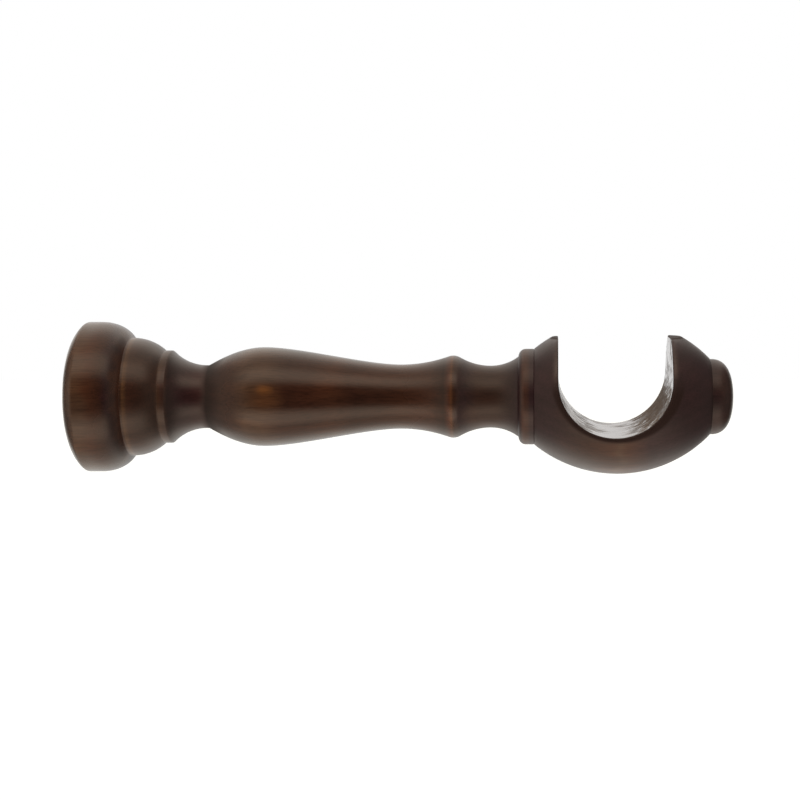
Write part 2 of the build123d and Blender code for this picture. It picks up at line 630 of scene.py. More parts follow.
@dataclass
class Seat:
    """The cut across the cup: flat arm tops, walls and round bottom, with its rim rounded over.

    Three lines run along the cut from one arm's point to the other's. The rim line lies on the turned skin,
    an edge's width away from the cut. The edge line is where skin and cut would meet if they were sharp.
    The wall line lies on the cut itself, an edge's width in from the edge line.
    """

    cup: PoleCup
    arm_rows: int
    arc_columns: int = 96
    top_columns: dict[Side, int] = field(default_factory=lambda: {Side.WALL: 6, Side.ROOM: 12})
    corner_columns: int = 5
    rim_rows: int = 9
    width_columns: int = 56
    most_of_half_width: float = 0.45

    def rim_x(self, side: Side) -> float:
        """Station of the rim line beside a wall of the seat."""
        return self.cup.seat_x + side.value * (self.cup.seat_radius + self.cup.edge_width)

    def skin_y(self, x: np.ndarray, z: np.ndarray) -> np.ndarray:
        """Half width of the cup at a place: the root of its radius squared less the height squared."""
        return np.sqrt(np.maximum(self.cup.ball(x) ** 2 - z**2, 0))

    def rim_angles(self, side: Side) -> np.ndarray:
        """Spread the rim line's points beside a wall of the seat evenly, by their angle round the axis.

        A point of the cup at a height has the arc cosine of the height over the cup's radius there as its
        angle from the top.

        Args:
            side: Which of the seat's two walls.

        Returns:
            The angles from the top, from the wall's corner down to the round bottom.
        """
        radius = self.cup.ball(np.array(self.rim_x(side)))
        top, bottom = self.cup.arm_top - self.cup.edge_width, self.cup.seat_rise
        return np.linspace(np.arccos(top / radius), np.arccos(bottom / radius), self.arm_rows + 1)

    def arm_lines(self, side: Side) -> dict[str, np.ndarray]:
        """Rim and edge lines along one arm, from its point over the flat top and down to the round bottom.

        The flat top runs level, the corner is a quarter circle, and the wall drops straight. The rim keeps
        its width from the corner on, and eases to nothing towards the arm's point.

        Args:
            side: Which of the two arms.

        Returns:
            Stations and heights of both lines, and the share of the edge's width at each point.
        """
        cup, way = self.cup, side.value
        point, rim = cup.arm_point(side), self.rim_x(side)
        wall = cup.seat_x + way * cup.seat_radius
        t = np.linspace(0, 1, self.top_columns[side] + 1)
        corner = np.radians(np.linspace(0, 90, self.corner_columns + 1)[1:])
        rim_z = cup.ball(np.array(rim)) * np.cos(self.rim_angles(side)[1:])
        rim_top = cup.arm_top - cup.edge_width
        drop = (rim_z - cup.seat_rise) / (rim_top - cup.seat_rise)
        centre_x, centre_z = wall + way * cup.arm_corner, cup.arm_top - cup.arm_corner
        rim_line = [
            (point + (rim - point) * t, cup.arm_top - cup.edge_width * smooth(t)),
            (np.full_like(corner, rim), np.full_like(corner, rim_top)),
            (np.full_like(rim_z, rim), rim_z),
        ]
        edge_line = [
            (point + (centre_x - point) * t, np.full_like(t, cup.arm_top)),
            (centre_x - way * cup.arm_corner * np.sin(corner), centre_z + cup.arm_corner * np.cos(corner)),
            (np.full_like(rim_z, wall), cup.seat_rise + drop * (centre_z - cup.seat_rise)),
        ]
        share = np.concatenate([smooth(t), np.ones(len(corner) + len(rim_z))])
        return {"rim": np.hstack(rim_line), "edge": np.hstack(edge_line), "share": share}

    def lines(self) -> tuple[np.ndarray, np.ndarray, np.ndarray]:
        """The three lines on the side where Y is positive.

        Below the seat's centre the rim and edge lines are half circles about it. An edge's width is kept to
        less than half of the cup's half width.

        Returns:
            Rim, edge and wall lines, each with one row of coordinates for each point.
        """
        cup = self.cup
        wall_arm, room_arm = (self.arm_lines(side) for side in Side)
        angle = np.radians(np.linspace(180, 360, self.arc_columns + 1))[1:-1]
        bottom = np.array([np.cos(angle), np.sin(angle)])
        middle = np.array([[cup.seat_x], [cup.seat_rise]])
        radii = {"rim": cup.seat_radius + cup.edge_width, "edge": cup.seat_radius}
        rim, edge = (
            np.hstack([wall_arm[key], middle + radius * bottom, room_arm[key][:, ::-1]])
            for key, radius in radii.items()
        )
        share = np.concatenate([wall_arm["share"], np.ones(len(angle)), room_arm["share"][::-1]])
        rim, edge = (np.column_stack([x, self.skin_y(x, z), z]) for x, z in (rim, edge))
        wall = edge.copy()
        wall[:, 1] -= np.minimum(cup.edge_width * share, self.most_of_half_width * edge[:, 1])
        return rim, edge, wall

    def slots(self) -> np.ndarray:
        """Put the turned finish on the arm tops and the bored one in the seat.

        Returns:
            The slot number of each stretch along the cut.
        """
        wall_top, room_top = (self.top_columns[side] + self.corner_columns for side in Side)
        order = [Finish.TURNED.value, Finish.BORED.value, Finish.TURNED.value]
        return np.repeat(order, [wall_top, 2 * self.arm_rows + self.arc_columns, room_top])

    def add_to(self, shell: Shell) -> None:
        """Add the rounded rims and the cut to the bracket's shell.

        A rim is a parabola across the three lines: (1 - t)² of the rim line, 2 t (1 - t) of the edge line
        and t² of the wall line. The cut is ruled straight across from one wall line to the other.

        Args:
            shell: The shell that gets the grids.
        """
        rim, edge, wall = (line[:, None] for line in self.lines())
        t = np.linspace(0, 1, self.rim_rows + 1)[None, :, None]
        shell.add_both((1 - t) ** 2 * rim + 2 * t * (1 - t) * edge + t * t * wall)
        across = np.linspace(-1, 1, self.width_columns + 1)[None, :, None]
        ones = np.ones_like(across)
        shell.add(wall * np.concatenate([ones, across, ones], axis=2), self.slots())


@dataclass
class Bracket:
    """The whole turned and bored bracket, one closed mesh."""

    flange: WallFlange
    arm: BalusterArm
    cup: PoleCup
    half_turn: int = 64
    arm_rows: int = 26
    corner_spread: float = 0.14
    outline_step: float = 0.85
    outline_turn: float = 7.0
    weld: float = 0.002

    def turned(self, outline: np.ndarray) -> np.ndarray:
        """Soften an outline's corners and carry it round the axis.

        Args:
            outline: Stations and radii, one row for each point.

        Returns:
            Grid of points, stations by angles.
        """
        kept = thinned(softened(outline, self.corner_spread), self.outline_step, self.outline_turn)
        return around_axis(kept[:, :1], kept[:, 1:], np.linspace(0, 2 * math.pi, 2 * self.half_turn + 1))

    def add_cup_skin(self, shell: Shell, seat: Seat) -> None:
        """Add the cup's skin around the seat, from one arm's point to the other's.

        Beside each wall of the seat a grid runs from the rim line to the height of the seat's centre. Below
        that height one grid runs along the whole cut, from the rim line down to the cup's lowest line, and
        its stations even out on the way down.

        Args:
            shell: The shell that gets the grids.
            seat: The cut across the cup.
        """
        starts: list[np.ndarray] = []
        level = math.pi * self.arm_rows / self.half_turn
        for side in Side:
            x, z = seat.arm_lines(side)["rim"][:, : seat.top_columns[side] + 1]
            top = np.arccos(np.clip(z / self.cup.ball(x), -1, 1))
            bottom = np.linspace(level, seat.rim_angles(side)[-1], len(x))
            share = np.linspace(0, 1, self.arm_rows + 1)
            angle = top[:, None] + (bottom - top)[:, None] * share
            shell.add_both(around_axis(x[:, None], self.cup.ball(x)[:, None], angle))
            starts.append(np.column_stack([x, bottom]))
        first = seat.top_columns[Side.WALL] + seat.corner_columns + self.arm_rows + 1
        under_x, under_y, under_z = seat.lines()[0][first : first + seat.arc_columns - 1].T
        under = np.column_stack([under_x, np.arctan2(under_y, under_z)])
        line = np.concatenate([starts[0], under, starts[1][::-1]])
        span = slice(len(starts[0]) - 1, len(starts[0]) + len(under) + 1)
        even = line[:, 0].copy()
        even[span] = np.linspace(even[span][0], even[span][-1], len(even[span]))
        share = np.linspace(0, 1, self.half_turn - self.arm_rows + 1)
        x = line[:, :1] + (even - line[:, 0])[:, None] * smooth(share)
        shell.add_both(around_axis(x, self.cup.ball(x), line[:, 1:] + (math.pi - line[:, 1:]) * share))

    def build(self) -> bpy.types.Object:
        """Make the bracket's mesh and its object, at the origin of the frame.

        Returns:
            The new object, without materials.
        """
        seat = Seat(self.cup, self.arm_rows)
        shell = Shell()
        back = self.flange.outline(), self.arm.outline(self.cup.shoulder_radius), self.cup.back_outline()
        shell.add(self.turned(np.concatenate(back)))
        shell.add(self.turned(self.cup.front_outline()))
        self.add_cup_skin(shell, seat)
        seat.add_to(shell)
        piece = bpy.data.objects.new(PIECE, shell.mesh(PIECE, self.weld))
        bpy.context.scene.collection.objects.link(piece)
        return piece

    def dress(self, piece: bpy.types.Object) -> None:
        """Give the bracket its two finishes, in the order of the slots."""
        piece.data.materials.append(StainedHardwood(self.flange, self.arm, self.cup).material())
        piece.data.materials.append(BoredHardwood(self.cup).material())


@dataclass(frozen=True)
class Pattern:
    """Uneven pattern: length of one spot along X, Y and Z, and how many finer patterns are laid over it."""

    size: Triple
    detail: float


class Hardwood:
    """What the two finishes share: places in millimetres, uneven patterns and oval patches."""

    def start(self, name: str) -> tuple[bpy.types.Material, Tree, Feed]:
        """Start a node material.

        Args:
            name: The material's name.

        Returns:
            The material, its empty tree, and Object coordinates in millimetres.
        """
        made = bpy.data.materials.new(name)
        tree = empty_tree(made)
        place = add_node(tree, "TexCoord", ()).outputs["Object"]
        return made, tree, add_node(tree, "VectorMath", {0: place, "Scale": 1 / MM}, operation="SCALE")

    def patterns(self, tree: Tree, point: Feed, *wanted: Pattern) -> list[Feed]:
        """Uneven patterns: noise at the place divided by the size of one spot.

        Args:
            tree: The material's node tree.
            point: Object coordinates in millimetres.
            wanted: The patterns.

        Returns:
            The value of each pattern, about a half on average.
        """
        made: list[Feed] = []
        for pattern in wanted:
            scaled = add_node(tree, "VectorMath", (point, pattern.size), operation="DIVIDE")
            noise = {"Vector": scaled, "Scale": 1.0, "Detail": pattern.detail}
            made.append(add_node(tree, "TexNoise", noise))
        return made

    def reach(self, tree: Tree, point: Feed, middle: Triple, size: Triple) -> Feed:
        """Distance from the middle of an oval, counted so that it is one on the oval itself.

        Args:
            tree: The material's node tree.
            point: Object coordinates in millimetres.
            middle: The oval's middle.
            size: Its half axes along X, Y and Z.

        Returns:
            The distance.
        """
        offset = add_node(tree, "VectorMath", (point, middle), operation="SUBTRACT")
        scaled = add_node(tree, "VectorMath", (offset, size), operation="DIVIDE")
        return add_node(tree, "VectorMath", (scaled,), operation="LENGTH")


@dataclass(frozen=True)
class StainedHardwood(Hardwood):
    """Beech turned between centres, sanded, stained dark walnut and sprayed with a thin satin lacquer.

    The stain gives a deep brown with redder clouds, and it is rubbed golden on the raised edges. Painted
    shade lies almost black in the creases, purple-brown on flanks turned from the light and dark on the rim
    under the pole, and painted highlights run down the arms beside the seat. The lacquer adds a soft, clear
    sheen over faint grain along the arm.
    """

    flange: WallFlange
    arm: BalusterArm
    cup: PoleCup
    body: str = "#532f1f"
    deep: str = "#43251a"
    # Painted shade: a purple-brown on flanks turned from the light, beside creases and over both ends of
    # the cup.
    painted_flank_shade: str = "#341b20"
    warm: str = "#6a4026"
    russet: str = "#5a2e1d"
    # Paler stain worn on the crowns of the vase and cup. At the wall end it is also painted light, lifting
    # the bevel that faces away from the light.
    faded_and_painted_light: str = "#5b3d2b"
    rubbed: str = "#6b482d"
    # Painted shade: near-black, laid in the creases and hollows.
    painted_crease_shade: str = "#271713"
    # An orange-brown for a patch on the front of the vase, a little above its middle.
    orange_patch_tone: str = "#8a552c"
    # Painted highlight: a paler brown-grey for soft streaks beside the seat's edges.
    painted_edge_highlight: str = "#6b5a52"
    # Painted shade: near-black for the rim under the pole, also laid on the arms' tops.
    painted_rim_shade: str = "#260c0a"
    lacquer_tint: str = "#ffe6d2"
    lacquer_ior: float = 1.5
    lacquer_shine: float = 0.6
    # Clouds where the wood took up more stain or less. The tones wander along the arm with them.
    clouds: Pattern = Pattern((24.0, 8.0, 8.0), 3.0)
    cloud_range: Pair = (0.3, 0.7)
    cloud_tints: Stops = ((0.3, (0.72, 0.7, 0.72, 1)), (0.5, (1, 1, 1, 1)), (0.7, (1.35, 1.28, 1.2, 1)))
    tone_wander: float = 3.5
    roughness_spread: float = 0.05
    # Growth rings of slow-grown beech, about a pith that lies outside the turned blank.
    ring_spacing: float = 2.6
    ring_wobble: float = 2.5
    ring_detail: float = 2.0
    ring_detail_scale: float = 0.4
    ring_tints: Stops = ((0.0, (0.92, 0.9, 0.9, 1)), (1.0, (1.06, 1.06, 1.05, 1)))
    pith: Triple = (0.0, 9.0, -31.0)
    # Real pores are under a tenth of a millimetre wide, and are drawn at four times that so that they show.
    pores: Pattern = Pattern((5.0, 0.42, 0.42), 2.0)
    pore_tints: Stops = ((0.34, (0.78, 0.76, 0.76, 1)), (0.5, (1, 1, 1, 1)), (0.7, (1.1, 1.1, 1.1, 1)))
    pore_depth: float = 0.012
    # Sanding round the work leaves rings finer than this, drawn coarser so that they show.
    sanding: Pattern = Pattern((0.45, 9.0, 9.0), 2.0)
    sanding_depth: float = 0.006
    lacquer_waves: Pattern = Pattern((6.0, 6.0, 6.0), 1.0)
    lacquer_depth: float = 0.05
    # Painted shade darkens the rim under the pole, which is also dull: over which widths and heights,
    # from the seat, it fades out.
    rim_width: Pair = (0.6, 1.7)
    rim_squeeze: float = 0.93
    rim_shift: float = 0.6
    rim_heights: Pair = (-4.0, 1.5)
    rim_roughness: float = 0.8
    # The arms' flat tops are the same: it sets in at these depths below them and ends past two seat radii.
    top_depths: Pair = (0.5, 0.2)
    top_share: float = 0.8
    top_fade: float = 1.0
    # Patches of colour, the first two on the vase at their places from the vase's crown.
    red_patch: Triple = (2.4, -12.8, 0.6)
    red_size: Triple = (4.8, 6.0, 4.0)
    red_share: float = 0.7
    orange_patch: Triple = (1.8, -12.4, 3.0)
    orange_size: Triple = (2.6, 6.0, 1.7)
    orange_share: float = 0.7
    # Painted highlights: soft streaks of paler brown run down both arms beside the seat's edges.
    edge_highlight_place: Triple = (14.7, -13.0, 3.5)
    edge_highlight_size: Triple = (1.3, 8.0, 7.5)
    edge_highlight_shares: Pair = (0.45, 0.3)
    patch_range: Pair = (0.1, 1.2)

    def along(self, places: list[tuple[float, list[tuple[Any, ...]]]]) -> list[tuple[Any, ...]]:
        """Turn offsets from stations into shares of the bracket's length, each with what belongs to it."""
        return [((x + offset) / self.cup.tip, *rest) for x, row in places for offset, *rest in row]

    def tones(self) -> Stops:
        """List the colours along the bracket, from the wall face to the tip: the stain's tones, with
        painted shade on flanks turned from the light, and painted light on the flange's bevel.

        Returns:
            Shares of the bracket's length, each with its colour.
        """
        flange, arm, cup = self.flange, self.arm, self.cup
        body, deep, painted_flank_shade, faded_and_painted_light = self.body, self.deep, self.painted_flank_shade, self.faded_and_painted_light
        # The purple-brown beside the creases, in the ring's lee and over the cup's two ends is painted
        # shade.
        places = [
            (flange.rim_end, [(-1.5, faded_and_painted_light), (1.2, body), (4.0, deep)]),
            (flange.step_start, [(-2.5, painted_flank_shade), (-0.5, body), (2.5, deep)]),
            (flange.bead_start, [(0.0, deep)]),
            (flange.end, [(0.0, painted_flank_shade)]),
            (arm.vase_start, [(1.0, painted_flank_shade), (5.0, deep)]),
            (arm.crown, [(-7.0, deep), (-3.0, faded_and_painted_light), (1.0, faded_and_painted_light)]),
            (arm.crown, [(7.0, deep), (13.0, deep), (19.0, body)]),
            (arm.waist, [(-12.0, deep), (0.0, body)]),
            (arm.ring, [(0.0, deep), (2.5, painted_flank_shade), (6.0, deep)]),
            (arm.cove, [(2.0, deep)]),
            (cup.start, [(-1.0, painted_flank_shade)]),
            (cup.crown, [(-16.0, painted_flank_shade), (-7.0, deep), (-1.0, body)]),
            (cup.crown, [(1.0, faded_and_painted_light), (3.0, body), (9.0, painted_flank_shade)]),
            (cup.cup_end, [(0.0, painted_flank_shade)]),
            (cup.tip, [(0.0, deep)]),
        ]
        return [(share, to_linear(tone)) for share, tone in self.along(places)]

    def edges(self) -> Stops:
        """List painted shade in creases and stain colours on raised edges, with how much of each shows as
        alpha.

        Returns:
            Shares of the bracket's length, each with its colour and alpha.
        """
        flange, arm, cup = self.flange, self.arm, self.cup
        body, painted_crease_shade, rubbed, russet, warm = self.body, self.painted_crease_shade, self.rubbed, self.russet, self.warm
        # The near-black in and beside the creases is painted shade. The golden and redder lines are the
        # stain on raised edges.
        places = [
            (flange.step_start, [(-4.0, painted_crease_shade, 0.0), (-1.3, painted_crease_shade, 0.45), (-0.2, painted_crease_shade, 0.1)]),
            (flange.step_start, [(0.2, rubbed, 0.9), (1.0, rubbed, 0.7)]),
            (flange.step_start, [(2.0, painted_crease_shade, 0.0), (5.0, painted_crease_shade, 0.25)]),
            (flange.bead_start, [(-0.2, painted_crease_shade, 0.4), (0.2, rubbed, 0.6), (0.6, rubbed, 0.3)]),
            (flange.end, [(-0.3, rubbed, 0.15), (0.4, painted_crease_shade, 0.6), (3.0, painted_crease_shade, 0.2)]),
            (arm.vase_start, [(-1.6, body, 0.2), (0.1, painted_crease_shade, 0.6), (1.0, painted_crease_shade, 1.0)]),
            (arm.vase_start, [(2.6, painted_crease_shade, 0.6), (7.0, painted_crease_shade, 0.0)]),
            (arm.ring, [(-6.0, painted_crease_shade, 0.0), (-2.5, painted_crease_shade, 0.65), (-1.2, russet, 0.7)]),
            (arm.ring, [(-0.6, warm, 1.0), (-0.1, warm, 0.7), (0.3, painted_crease_shade, 0.1)]),
            (cup.start, [(-1.5, painted_crease_shade, 0.45), (0.3, painted_crease_shade, 0.1), (0.9, body, 0.7)]),
            (cup.cup_start, [(-1.8, body, 0.7), (-1.0, body, 0.0)]),
            (cup.cup_end, [(-1.0, painted_crease_shade, 0.0), (0.0, painted_crease_shade, 0.5), (1.0, painted_crease_shade, 0.0)]),
        ]
        return [(share, (*to_linear(tone)[:3], shown)) for share, tone, shown in self.along(places)]

    def gloss(self) -> Stops:
        """List the lacquer's roughness along the bracket: the spray leaves the hollows duller.

        Returns:
            Shares of the bracket's length, each with the roughness as a grey.
        """
        flange, arm, cup = self.flange, self.arm, self.cup
        places = [
            (flange.rim_end, [(0.0, 0.24)]),
            (flange.step_start, [(0.0, 0.3)]),
            (arm.vase_start, [(-1.5, 0.34), (0.5, 0.7), (2.0, 0.6), (5.0, 0.3)]),
            (arm.crown, [(0.0, 0.2)]),
            (arm.waist, [(0.0, 0.22)]),
            (arm.ring, [(-3.0, 0.36), (0.0, 0.28), (2.5, 0.44)]),
            (arm.cove, [(0.0, 0.4)]),
            (cup.cup_start, [(0.0, 0.42)]),
            (cup.crown, [(-8.0, 0.32), (8.0, 0.46)]),
            (cup.cup_end, [(-0.5, 0.46), (0.5, 0.45)]),
            (cup.tip, [(0.0, 0.3)]),
        ]
        return [(share, (level, level, level, 1.0)) for share, level in self.along(places)]

    def patches(self) -> list[tuple[Triple, Triple, str, float]]:
        """List the oval patches: patches of colour on the vase, and painted highlights beside the seat.

        Returns:
            Middle, half axes, tone and greatest share of each patch.
        """
        red, orange = ((self.arm.crown + x, y, z) for x, y, z in (self.red_patch, self.orange_patch))
        # The two painted highlights lie on the arms, one on each side of the seat.
        aside, front, lift = self.edge_highlight_place
        painted_edge_highlight = ((self.cup.seat_x + side.value * aside, front, self.cup.seat_rise + lift) for side in Side)
        return [
            (red, self.red_size, self.warm, self.red_share),
            (orange, self.orange_size, self.orange_patch_tone, self.orange_share),
            *((middle, self.edge_highlight_size, self.painted_edge_highlight, share) for middle, share in zip(painted_edge_highlight, self.edge_highlight_shares)),
        ]

    def material(self) -> bpy.types.Material:
        """Make the finish as a node material.

        Returns:
            The material, on Object coordinates.
        """
        made, tree, point = self.start("walnut_stained_lacquered_beech")
        clouds, pores = self.patterns(tree, point, self.clouds, self.pores)
        x = add_node(tree, "SeparateXYZ", (point,)).outputs["X"]
        share = add_node(tree, "Math", (x, self.cup.tip), operation="DIVIDE")
        gloss = add_node(tree, "ValToRGB", (share,), self.gloss())
        spread = self.roughness_spread
        uneven = add_node(tree, "MapRange", (clouds, *self.cloud_range, spread, -spread))
        dulled = add_node(tree, "Math", (gloss, uneven), operation="ADD")
        rim = self.near_seat(tree, point)
        stain = self.stain(tree, point, share, clouds, pores)
        # The rim under the pole gets painted shade, near-black and dull, over the stain.
        stain_and_rim_shade = {"Factor": rim, "A": stain, "B": to_linear(self.painted_rim_shade)}
        surface = {
            "Base Color": add_node(tree, "Mix", stain_and_rim_shade, data_type="RGBA"),
            "Roughness": add_node(tree, "Mix", {"Factor": rim, "A": dulled, "B": self.rim_roughness}),
            "IOR": self.lacquer_ior,
            "Specular IOR Level": self.lacquer_shine,
            "Specular Tint": to_linear(self.lacquer_tint),
            "Normal": self.relief(tree, point, pores),
        }
        add_node(tree, "OutputMaterial", (add_node(tree, "BsdfPrincipled", surface),))
        return made

    def near_seat(self, tree: Tree, point: Feed) -> Feed:
        """Share of the dark, dull colour: painted shade on the rim under the pole, and the same on the
        arms' tops.

        The distance from the cut is the length of the offset from the seat's axis in X and Z, less the
        seat's radius. X counts a little less than Z, so that the rim is broader beside the pole than under
        it, and the axis is moved a little towards the room, so that the rim is broadest there. The painted
        shade fades out over that distance, and also with the height above the seat's centre.

        Args:
            tree: The material's node tree.
            point: Object coordinates in millimetres.

        Returns:
            The share of the dark, dull colour.
        """
        cup = self.cup
        scale = self.rim_squeeze, 0.0, 1.0
        shift = -self.rim_squeeze * (cup.seat_x + self.rim_shift), 0.0, -cup.seat_rise
        offset = add_node(tree, "VectorMath", (point, scale, shift), operation="MULTIPLY_ADD")
        reach = add_node(tree, "VectorMath", (offset,), operation="LENGTH")
        height = add_node(tree, "SeparateXYZ", (offset,)).outputs["Z"]
        rim_ends = (cup.seat_radius + width for width in self.rim_width)
        top_ends = (cup.arm_rise - depth for depth in self.top_depths)
        arm_reach = 2 * cup.seat_radius
        spans = [
            (reach, *rim_ends, 1.0, 0.0),
            (height, *self.rim_heights, 1.0, 0.0),
            (height, *top_ends, 0.0, self.top_share),
            (reach, arm_reach, arm_reach + self.top_fade, 1.0, 0.0),
        ]
        beside, below, above, within = (
            add_node(tree, "MapRange", span, interpolation_type="SMOOTHSTEP") for span in spans
        )
        rim = add_node(tree, "Math", (beside, below), operation="MULTIPLY")
        top = add_node(tree, "Math", (above, within), operation="MULTIPLY")
        return add_node(tree, "Math", (rim, top), operation="MAXIMUM")

    def stain(self, tree: Tree, point: Feed, share: Feed, clouds: Feed, pores: Feed) -> Feed:
        """Colour of the wood away from the seat's rim: the stain, with painted shade and painted highlights
        on it.

        Args:
            tree: The material's node tree.
            point: Object coordinates in millimetres.
            share: Place along the bracket, from 0 at the wall to 1 at the tip.
            clouds: Pattern of how much stain the wood took up.
            pores: Pattern of the pores along the grain.

        Returns:
            The colour.
        """
        wander = self.tone_wander / self.cup.tip
        moved = add_node(tree, "MapRange", {"Value": clouds, "To Min": -wander, "To Max": wander})
        blotchy = add_node(tree, "Math", (share, moved), operation="ADD")
        colour = add_node(tree, "ValToRGB", (blotchy,), self.tones())
        # Painted shade in the creases, and the stain rubbed on raised edges, go over the tones.
        edge = add_node(tree, "ValToRGB", (share,), self.edges())
        layers: list[tuple[Feed, Any]] = [(edge.outputs["Alpha"], edge)]
        for middle, size, tone, most in self.patches():
            span = self.reach(tree, point, middle, size), *self.patch_range, most, 0.0
            patch = add_node(tree, "MapRange", span, interpolation_type="SMOOTHSTEP")
            layers.append((patch, to_linear(tone)))
        for shown, tone in layers:
            colour = add_node(tree, "Mix", {"Factor": shown, "A": colour, "B": tone}, data_type="RGBA")
        growth = {
            "Vector": add_node(tree, "VectorMath", (point, self.pith), operation="SUBTRACT"),
            # At a scale of one, the texture has twenty rings in two pi millimetres.
            "Scale": 2 * math.pi / (20 * self.ring_spacing),
            "Distortion": self.ring_wobble,
            "Detail": self.ring_detail,
            "Detail Scale": self.ring_detail_scale,
        }
        rings = add_node(tree, "TexWave", growth, wave_type="RINGS", rings_direction="X").outputs["Fac"]
        tints = (clouds, self.cloud_tints), (rings, self.ring_tints), (pores, self.pore_tints)
        for pattern, stops in tints:
            layer = {"Factor": 1.0, "A": colour, "B": add_node(tree, "ValToRGB", (pattern,), stops)}
            colour = add_node(tree, "Mix", layer, data_type="RGBA", blend_type="MULTIPLY")
        return colour

    def relief(self, tree: Tree, point: Feed, pores: Feed) -> Feed:
        """Fine relief: slow waves in the lacquer, rings left by sanding on the lathe, and sunken pores.

        Args:
            tree: The material's node tree.
            point: Object coordinates in millimetres.
            pores: Pattern of the pores along the grain.

        Returns:
            The normal for the shader.
        """
        waves, sanding = self.patterns(tree, point, self.lacquer_waves, self.sanding)
        depths = (waves, self.lacquer_depth), (sanding, self.sanding_depth), (pores, self.pore_depth)
        normal: dict[str, Feed] = {}
        for height, depth in depths:
            bump = {"Height": height, "Strength": 1.0, "Distance": depth * MM, **normal}
            normal = {"Normal": add_node(tree, "Bump", bump)}
        return normal["Normal"]


@dataclass(frozen=True)
class SeatPatch:
    """Long oval on the seat: angle from +X in degrees, place along Y, half axes and roughness."""

    angle: float
    depth: float
    size: Triple
    roughness: float


@dataclass(frozen=True)
class BoredHardwood(Hardwood):
    """The same beech where the seat was bored across it, stained but never sanded.

    The cutter burnished the wood, so that it mirrors the light at a low angle, and it tore the fibres out
    in short dark streaks along the grain. One patch low on the room side stayed dull and brown, and one on
    the wall side is scuffed to a softer sheen.
    """

    cup: PoleCup
    burnished: str = "#6f5540"
    torn: str = "#4f3828"
    dull: str = "#5e4530"
    wood_ior: float = 1.5
    wood_shine: float = 0.85
    burnished_roughness: float = 0.1
    torn_roughness: float = 0.52
    # Torn fibres: a few millimetres long on the grain, and about a millimetre across.
    fibres: Pattern = Pattern((6.5, 1.1, 1.7), 2.5)
    # Stretches where the cutter tore more fibres, or fewer, and how much they and the scuffing count.
    stretches: Pattern = Pattern((6.0, 12.0, 6.0), 1.0)
    stretch_weight: float = 0.8
    scuffed_weight: float = 0.05
    torn_range: Pair = (0.86, 1.14)
    # The cutter's feed leaves ridges finer than this round the bore, drawn coarser so that they show.
    ridges: Pattern = Pattern((14.0, 0.9, 14.0), 1.0)
    ridge_depth: float = 0.02
    dull_patch: SeatPatch = SeatPatch(-38.0, 8.0, (8.0, 44.0, 8.0), 0.95)
    scuffed_patch: SeatPatch = SeatPatch(-147.0, -10.0, (8.0, 30.0, 8.0), 0.26)
    # How far the fibres carry a patch's border to and fro, and the range over which the patch fades out.
    raggedness: float = 2.4
    border: Pair = (-0.7, 0.0)

    def material(self) -> bpy.types.Material:
        """Make the finish as a node material.

        Returns:
            The material, on Object coordinates.
        """
        made, tree, point = self.start("bored_stained_beech")
        fibres, stretches, ridges = self.patterns(tree, point, self.fibres, self.stretches, self.ridges)
        dull = self.shown(tree, point, fibres, self.dull_patch)
        scuffed = self.shown(tree, point, fibres, self.scuffed_patch)
        uneven = add_node(tree, "Math", (stretches, self.stretch_weight, fibres), operation="MULTIPLY_ADD")
        scored = add_node(tree, "Math", (scuffed, self.scuffed_weight, uneven), operation="MULTIPLY_ADD")
        torn = add_node(tree, "MapRange", (scored, *self.torn_range), interpolation_type="SMOOTHSTEP")
        colour: Any = to_linear(self.burnished)
        for share, tone in ((dull, self.dull), (torn, self.torn)):
            layer = {"Factor": share, "A": colour, "B": to_linear(tone)}
            colour = add_node(tree, "Mix", layer, data_type="RGBA")
        roughness: Any = self.burnished_roughness
        levels = self.dull_patch.roughness, self.scuffed_patch.roughness, self.torn_roughness
        for share, level in zip((dull, scuffed, torn), levels):
            roughness = add_node(tree, "Mix", {"Factor": share, "A": roughness, "B": level})
        relief = {"Height": ridges, "Strength": 1.0, "Distance": self.ridge_depth * MM}
        surface = {
            "Base Color": colour,
            "Roughness": roughness,
            "IOR": self.wood_ior,
            "Specular IOR Level": self.wood_shine,
            "Normal": add_node(tree, "Bump", relief),
        }
        add_node(tree, "OutputMaterial", (add_node(tree, "BsdfPrincipled", surface),))
        return made

    def shown(self, tree: Tree, point: Feed, fibres: Feed, patch: SeatPatch) -> Feed:
        """Share of a patch: one inside its oval, and ragged along its border.

        Args:
            tree: The material's node tree.
            point: Object coordinates in millimetres.
            fibres: Pattern of the torn fibres.
            patch: The patch, whose middle lies on the seat.

        Returns:
            The share.
        """
        turn, radius = math.radians(patch.angle), self.cup.seat_radius
        x, z = self.cup.seat_x + radius * math.cos(turn), self.cup.seat_rise + radius * math.sin(turn)
        reach = self.reach(tree, point, (x, patch.depth, z), patch.size)
        ragged = add_node(tree, "Math", (fibres, -self.raggedness, reach), operation="MULTIPLY_ADD")
        return add_node(tree, "MapRange", (ragged, *self.border, 1.0, 0.0), interpolation_type="SMOOTHSTEP")


